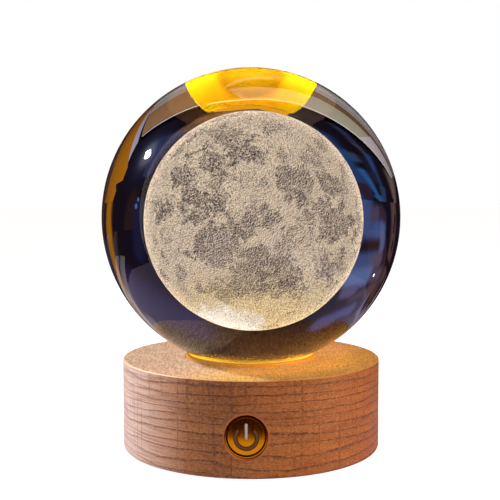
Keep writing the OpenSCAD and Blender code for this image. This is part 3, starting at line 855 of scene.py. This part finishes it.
# %% [markdown]
# ## Painted cards
# The lamp was photographed on a small table in a dark room, which its glass still shows. So painted
# cards stand round it, as a photographer sets cards round glass. Only reflections and refractions
# see them: they take no light from the wood. A card's colour is painted with strokes. Each stroke
# is a soft line from one place to another, and lies over those before it.


# %% Strokes of colour
def strokes(u, v, ground, lines):
    """Colour at (u, v): each stroke covers the last by exp(-(d / wide) ** 4), d from its line."""
    p = np.stack([u, v], -1)
    colour = np.zeros(p.shape[:-1] + (3,)) + linear(ground)[:3]
    for start, end, wide, code, *strength in lines:
        a, b = np.array(start, float), np.array(end, float)
        t = np.clip((p - a) @ (b - a) / max((b - a) @ (b - a), 1e-9), 0, 1)
        d = np.linalg.norm(p - a - t[..., None] * (b - a), axis=-1)
        cover = np.exp(-((d / wide) ** 4))[..., None]
        colour = colour * (1 - cover) + np.array(linear(code, *strength)[:3]) * cover
    return colour


def card(name, mesh, colours=None, code="FFFFFF", strength=1.0):
    """A backdrop with a light of its own that only glossy and glass rays see."""

    def surface(tree):
        tone = linear(code)
        if colours is not None:
            tone = add(tree, "Attribute", attribute_name="paint").outputs["Color"]
        return add(tree, "Emission", [tone, strength])

    if colours is not None:
        flat = np.ones((len(mesh.vertices), 4), np.float32)
        flat[: colours.size // 3, :3] = colours.reshape(-1, 3)
        flat[colours.size // 3 :, :3] = colours[-1].mean(0)
        mesh.attributes.new("paint", "FLOAT_COLOR", "POINT").data.foreach_set("color", flat.ravel())
    made = place(name, mesh, new_finish(name, surface))
    made.visible_camera = False
    made.visible_diffuse = False
    made.visible_shadow = False
    return made


# %% [markdown]
# ## The dark room
# The room is a dome, painted in azimuth (from +Y towards +X) and elevation, in degrees as seen from
# the ball. The glass shows it twice: bent through the ball, and mirrored by its surface. One place
# in the room then has to look right in two places in the ball, which a simple painting can't do, so
# there are two domes. One is seen only through the glass and the other only in its surface.

# %% The dark room
DARK = "150F18"
dome_radius = 600 * MM
table_up = 0.6 * MM
MIRRORED = [
    ((-82, 31), (-82, 31.1), 17, "3A4A78"),
    ((-82, 31), (-82, 31.1), 10, "8090C8"),
    ((-82, 31), (-82, 31.1), 6.5, "F0F4FF", 1.5),
    ((-76.2, -18.9), (-86.2, 8), 6, "6E4B32"),
]
ROOM = [
    ((17.1, 28.2), (42.6, 22.1), 9, "322A48"),
    ((43.3, 36.6), (62.1, 43.5), 4, "6E6670"),
    ((25.9, -6.5), (28.3, 7.2), 3, "1C1C38"),
    ((-29.9, -5.6), (-35.2, 5.2), 6, "40507E"),
    ((-38.8, 1.5), (-39, 3.5), 2.6, "40588C"),
    ((-43.7, 1.5), (-44.4, 7.5), 3, "566290"),
    ((-39.5, -2.7), (-36, -1.5), 2.2, "4E425A"),
    ((-42.5, -3), (-45, -1.5), 2.2, "3C2A38"),
    ((-32, 6.2), (-40.5, 7), 2.6, "24161F"),
    ((-30.5, 10.5), (-40, 11.2), 3, "465078"),
    ((-41, 11.3), (-45.5, 11.8), 2.5, "5A4C64"),
    ((-29, 14.6), (-39, 15.6), 3.2, "5E6E9C"),
    ((-44, 16.6), (-50, 17.5), 3, "54465C"),
    ((-28.5, 18.5), (-33, 19.2), 2.2, "544C6C"),
    ((-59.5, 20.9), (-34, 22.2), 1.8, "3C2D3E"),
    ((-46, 22.4), (-50, 22.9), 2.6, "5A4650"),
    ((-24.2, 29.3), (-37.7, 28.2), 3.5, "4C4B7A"),
    ((-60.3, 36), (-33, 31.8), 2.4, "32232F"),
    ((-56.9, 26.1), (-67.8, 34.7), 3.5, "5A3E3C"),
    ((-48.4, 25.1), (-48.4, 31.4), 1.2, "6E6987"),
    ((-48.4, 31.4), (-67.9, 45.9), 1.6, "6E6987"),
    ((-57, -18.2), (-59.5, 18.9), 4.6, "6A5048"),
    ((-49.8, -10), (-50.4, 11.9), 1.2, "0F0F2D"),
    ((-59.7, -0.9), (-59.8, 0.5), 1.4, "0A080A"),
    ((-58.3, 2.3), (-58.5, 3.5), 1.2, "0A080A"),
    ((-59.1, 7.7), (-59.3, 9.7), 1.3, "0A080A"),
    ((-53.1, 12.8), (-71.6, 20.8), 1.6, "23141A"),
    ((-76.2, -18.9), (-86.2, 49), 6, "664834"),
    ((52.4, -12.2), (53.9, 3.7), 4.6, "BE7814"),
    ((53.9, 3.7), (55.6, 18), 4.6, "BE7814"),
    ((56, 19), (57, 25), 4.2, "C88040"),
    ((58, 28), (58, 50), 7, "C0A090"),
    ((67.4, -18.7), (76.4, 22), 8, "6E4B3C"),
]
dome_points = dome_radius * directions(np.radians(np.linspace(-1, 89, 200)), 480)
azimuth = np.degrees(np.arctan2(dome_points[..., 0], dome_points[..., 1]))
level_out = np.hypot(dome_points[..., 0], dome_points[..., 1])
dome_points += (0, 0, table_up)
elevation = np.degrees(np.arctan2(dome_points[..., 2] - ball_centre[2], level_out))
dome_top = (0, 0, table_up + dome_radius)
domes = {}
for name, lines in (("dark_room", ROOM), ("mirrored_room", MIRRORED)):
    dome_mesh = grid_mesh(name, dome_points, (None, dome_top))
    domes[name] = card(name, dome_mesh, strokes(azimuth, elevation, DARK, lines))
domes["dark_room"].visible_glossy = False
domes["mirrored_room"].visible_transmission = False
print("dome, mm:", dome_radius / MM, "strokes:", len(ROOM) + len(MIRRORED))

# %% [markdown]
# ## The dark ground
# The ground round the table is a flat disc that meets the dome. It is painted in x and y, in
# millimetres. Its long blue strokes are the bands that the right half of the glass shows.

# %% The dark ground
GROUND = [
    ((59, 188), (84, 228), 17, "252A4A"),
    ((19, 176), (45, 185), 7, "5A4446"),
    ((45, 185), (74, 217), 7, "38385A"),
    ((74, 217), (122, 290), 9, "343456"),
    ((22, 171), (32, 178), 6, "6A401C"),
    ((8, 164), (22, 167), 5.5, "8E5A20"),
    ((-2, 162), (8, 164), 4, "A06830"),
    ((-52, 194), (-90, 237), 17, "263E6A"),
    ((-90, 237), (-144, 303), 24, "24406E"),
    ((-144, 303), (-341, 584), 60, "233C66"),
    ((-190, 333), (-327, 480), 26, "2E1E30"),
    ((-84, 207), (-104, 212), 10, "28446F"),
    ((-97, 196), (-112, 205), 6, "38384E"),
    ((-137, 241), (-315, 374), 11, "30568C"),
    ((-315, 374), (-553, 507), 26, "30568C"),
    ((-60, 160), (-110, 188), 6, "120C16"),
    ((-110, 188), (-156, 222), 7, "1E1A28"),
    ((-156, 222), (-240, 262), 7, "242434"),
    ((-56, 145), (-84, 161), 4, "30344E"),
    ((-84, 161), (-114, 168), 5, "3C3A50"),
    ((-114, 168), (-160, 203), 8, "2E4470"),
    ((-160, 203), (-250, 262), 8, "28385A"),
    ((-250, 262), (-478, 448), 18, "30405F"),
    ((-190, 128), (-540, 290), 32, "82695F"),
    ((-433, 273), (-452, 293), 16, "0A080A"),
]
side = np.linspace(-dome_radius, dome_radius, 241)
x, y = np.meshgrid(side, side)
keep = 0.999 * dome_radius / np.maximum(np.hypot(x, y), dome_radius)
x, y = x * keep, y * keep
ground_points = np.stack([x, y, table_up + 0 * x], -1)
ground_mesh = grid_mesh("dark_ground", ground_points, around_closed=False)
card("dark_ground", ground_mesh, strokes(x / MM, y / MM, DARK, GROUND))
print("ground points:", len(ground_mesh.vertices), "strokes:", len(GROUND))

# %% [markdown]
# ## The small table
# Near the lamp the glass shows the table top, its edges and the lamp's light on it, all with sharp
# borders, which soft strokes can't give. So they are plain flat cards, a tenth of a millimetre and
# more above the ground, and a higher one covers a lower one.

# %% The small table
# Name, colour, height above the ground and corners, in mm.
TABLE = [
    ("table_front", "A493B2", 0.1, [
        (-140, -400), (110, -400), (110, 34), (38, 127), (66, 138), (-64, 138), (-93, 72),
        (-140, 23)]),
    ("table_button_dark", "281204", 0.2, [(-40, -400), (40, -400), (40, -75), (-40, -75)]),
    ("table_button_shade", "70481E", 0.2, [(-40, -75), (40, -75), (40, -69), (-40, -69)]),
    ("table_button_light", "E4C894", 0.2, [(-40, -69), (40, -69), (40, -36), (-40, -36)]),
    ("table_back_grey", "B0A49E", 0.2, [(-205.5, 77), (49.3, 75.1), (55.2, 88.3), (-207.3, 90.8)]),
    ("table_back_pale", "D6CBC6", 0.2, [(-197.1, 54), (46, 57.1), (50.4, 75.1), (-199.9, 77)]),
    ("table_back_brown", "9C734F", 0.3, [
        (-10.8, 87.5), (55.2, 88.3), (72.3, 129.7), (-11.1, 132.5)]),
    ("table_back_olive", "785A38", 0.3, [
        (-201.7, 90.7), (-10.8, 87.5), (-10.9, 101.6), (-203.8, 105.2)]),
    ("table_back_beige", "B0A48C", 0.3, [
        (-203.8, 105.2), (-10.9, 101.6), (-11.1, 132.5), (-207.7, 134.2)]),
    ("table_back_pink", "CDBDBD", 0.4, [
        (-203.2, 100.8), (-88.7, 98.5), (-81.8, 132.4), (-207.9, 135.4)]),
    ("table_edge_white", "F5E6DC", 0.5, [
        (-213.5, 133.1), (72.5, 132), (72.5, 133.9), (-213.7, 135.6)]),
    ("table_edge_black", "020103", 0.5, [
        (-213.7, 135.6), (72.5, 133.9), (77.5, 144), (-215, 145.1)]),
    ("table_strip", "B4ACB8", 0.6, [(48.2, 73.2), (55.7, 77.2), (127.8, 184.3), (81, 139)]),
    ("table_back_amber", "3A1E00", 0.6, [
        (26.3, 56.8), (26.2, 64.6), (25.7, 95.2), (23.8, 119.8), (21.8, 131.3), (20.3, 143.2),
        (18.8, 156.4), (-26.9, 156.5), (-29.6, 142.1), (-31.1, 129.7), (-32.1, 117.2),
        (-32.5, 92), (-30.9, 60.4), (-30.5, 54.9)]),
    ("table_back_glow", "70580C", 0.7, [
        (-30.5, 54.9), (-32.4, 86.6), (-19.4, 89.7), (4.1, 95), (10.4, 85.4), (26, 86.6),
        (26.3, 56.8)]),
    ("table_back_blush", "A0785A", 0.7, [
        (-32.1, 104), (-32, 119.9), (-31.1, 129.1), (0.4, 136), (6.9, 111.7)]),
    ("table_back_fold", "8C6A50", 0.75, [
        (-0.7, 84.3), (9.6, 110.6), (5.2, 95), (-15.1, 87.5), (-15, 77.2)]),
    ("table_back_lip", "F4A404", 1.1, [
        (16, 150), (14, 156), (5, 158), (-1, 157), (-9, 156), (-16, 160.5), (-25, 163),
        (-26, 154.5), (-19, 152), (-12, 148.5), (3, 148)]),
    ("table_back_line", "E0C090", 0.8, [
        (-31.1, 129.1), (-30.9, 131.5), (0.4, 138.9), (17.5, 137.2), (17.5, 134.8), (0.4, 136)]),
    ("floor_amber", "B87214", 0.7, [
        (41.3, 62.9), (110, 20), (560, 20), (520, 280), (439.2, 395), (261.3, 276.9),
        (214.5, 224.3), (180.2, 238.2), (131, 194.6), (54.7, 77.2)]),
    ("floor_brown", "6E4B3C", 0.8, [
        (62.2, 61.9), (110, 20), (560, 20), (530, 260), (356.7, 218.1), (165.4, 127)]),
]
table = {}
for name, code, up_mm, corners_mm in TABLE:
    corners = np.array(corners_mm) * MM
    corners = np.column_stack([corners, np.full(len(corners), table_up + up_mm * MM)])
    table[name] = card(name, flat_mesh(name, corners), None, code)
table["table_front"].visible_transmission = False
table["floor_amber"].visible_glossy = False
print("flat cards:", len(table))

# %% [markdown]
# ## Lamps
# The key stands to the left and a little behind, 31 degrees up as seen from the ball. It is the
# round white highlight in the glass, and the ball's shadow from it crosses the wood. The fill is a
# large soft lamp far off to the right, which warms that side.

# %% Lamps
aim_high = 50 * MM


def soft_lamp(name, place_mm, watts, across_mm, code="FFFFFF"):
    """A round area lamp that faces a point aim_high above the table, in the ball's lower half."""
    data = bpy.data.lights.new(name, "AREA")
    data.shape = "DISK"
    data.energy = watts
    data.size = across_mm * MM
    data.color = linear(code)[:3]
    made = bpy.data.objects.new(name, data)
    made.location = [v * MM for v in place_mm]
    aim = -made.location.copy()
    aim.z += aim_high
    made.rotation_euler = aim.to_track_quat("-Z", "Y").to_euler()
    made.visible_camera = False
    bpy.context.scene.collection.objects.link(made)
    return made


key = soft_lamp("key_left", (-462, 65, 342), 5.0, 46)
fill = soft_lamp("fill_right", (930, -250, 350), 11.0, 500, "FFD09C")
print("key and fill, watts:", key.data.energy, fill.data.energy)

# %% [markdown]
# ## The seat's light on the wood
# The seat's light also spills out of the glass onto the wood round it. A path tracer finds such
# light only by luck, so a thin curved lamp that the camera doesn't see stands in for the spill. It
# runs from the front round the right to the back, where the photograph shows the glow.

# %% The spill
spill_ring_mm = 25.5
spill_thick_mm = 0.6
spill_up_mm = 4.5


def arc_tube(ring, tube, up, start, stop, around, rows):
    """((ring + tube cos b) cos a, (ring + tube cos b) sin a, up + tube sin b), a start to stop."""
    a = np.radians(np.linspace(start, stop, around))[None, :]
    b = np.linspace(0, 2 * np.pi, rows)[:, None]
    out = ring + tube * np.cos(b)
    return np.stack([out * np.cos(a), out * np.sin(a), up + tube * np.sin(b) + 0 * a], -1)


spill_up = ring_high.z + spill_up_mm * MM
tube_points = arc_tube(spill_ring_mm * MM, spill_thick_mm * MM, spill_up, -104, 70, 64, 9)
tube_mesh = grid_mesh("seat_spill", tube_points, around_closed=False)
spill = card("seat_spill", tube_mesh, None, "FFB808", 8.5)
spill.visible_diffuse = True
spill.visible_glossy = False
spill.visible_transmission = False
print("spill, mm above the table:", round(spill_up / MM, 2))

# %% [markdown]
# ## The seat's light in the glass
# On top of the ball the glass shows its own lit seat, as an amber patch. That view leaves the glass
# at a flat angle close above the seat, and is dimmed to a tenth by one inner reflection, so the
# seat would have to be far brighter than a screen shows. A card that lies on the ball's foot like
# a shallow bowl has that brightness, and only rays that have come through the glass see it.

# %% A bowl of light under the ball
bowl_gap = 0.08 * MM
bowl_radius = ball_radius + bowl_gap
bowl_reach_mm = 17.75
brightest_y = 2.1 * MM


def bowl(radius, reach, rows, around):
    """Ball surface out to reach from the axis: z = centre - sqrt(radius^2 - r^2)."""
    r = np.linspace(0.02, 1, rows)[:, None] * reach
    a = np.linspace(0, 2 * np.pi, around, endpoint=False)[None, :]
    z = ball_centre[2] - np.sqrt(radius**2 - r**2)
    return np.stack([r * np.cos(a), r * np.sin(a), z + 0 * a], -1)


bowl_points = bowl(bowl_radius, bowl_reach_mm * MM, 120, 160)
out_mm = np.hypot(bowl_points[..., 0], bowl_points[..., 1] - brightest_y) / MM
# Brightness and the share of green (red is 1) at some distances from the brightest place, in mm.
steps = [0, 3, 5, 8.5, 11, 14, 15.5, 18]
bright = np.interp(out_mm, steps, [9.5, 9.5, 9.5, 8, 20, 19, 17, 16])[..., None]
green = np.interp(out_mm, steps, [0.48, 0.48, 0.46, 0.42, 0.38, 0.42, 0.50, 0.56])
tone = np.stack([1 + 0 * green, green, 0.004 + 0 * green], -1)
bowl_mesh = grid_mesh("seat_light", bowl_points, (tips(ball_centre, bowl_radius)[0], None))
seat_light = card("seat_light", bowl_mesh, bright * tone)
seat_light.visible_glossy = False
print("seat light, mm across:", 2 * bowl_reach_mm)

# %% [markdown]
# ## Small lights
# Three small lights far off in the room show as points in the glass: a white one at the lower right
# and two faint blue ones at the left. Each is a small disc that faces the ball.


# %% Small lights that the glass shows
def glint(name, place_mm, radius_mm, code, strength):
    """A disc that faces the ball: place + radius * (cos a * side + sin a * up)."""
    spot = np.array(place_mm, float)
    way = ball_centre / MM - spot
    way /= np.linalg.norm(way)
    side = np.cross(way, (0, 0, 1))
    side /= np.linalg.norm(side)
    up = np.cross(side, way)
    a = np.linspace(0, 2 * np.pi, 24, endpoint=False)[:, None]
    rim = spot + radius_mm * (np.cos(a) * side + np.sin(a) * up)
    return card(name, flat_mesh(name, rim * MM), None, code, strength)


glint("glint_right", (-377, 386, 221.5), 5, "FFFFFF", 4).visible_glossy = False
glint("glint_blue_high", (143.7, 305, 29), 3, "3C6EA0", 1)
glint("glint_blue_low", (192.6, 375.7, 31.4), 5, "3C6EA0", 1)
print("small lights placed")
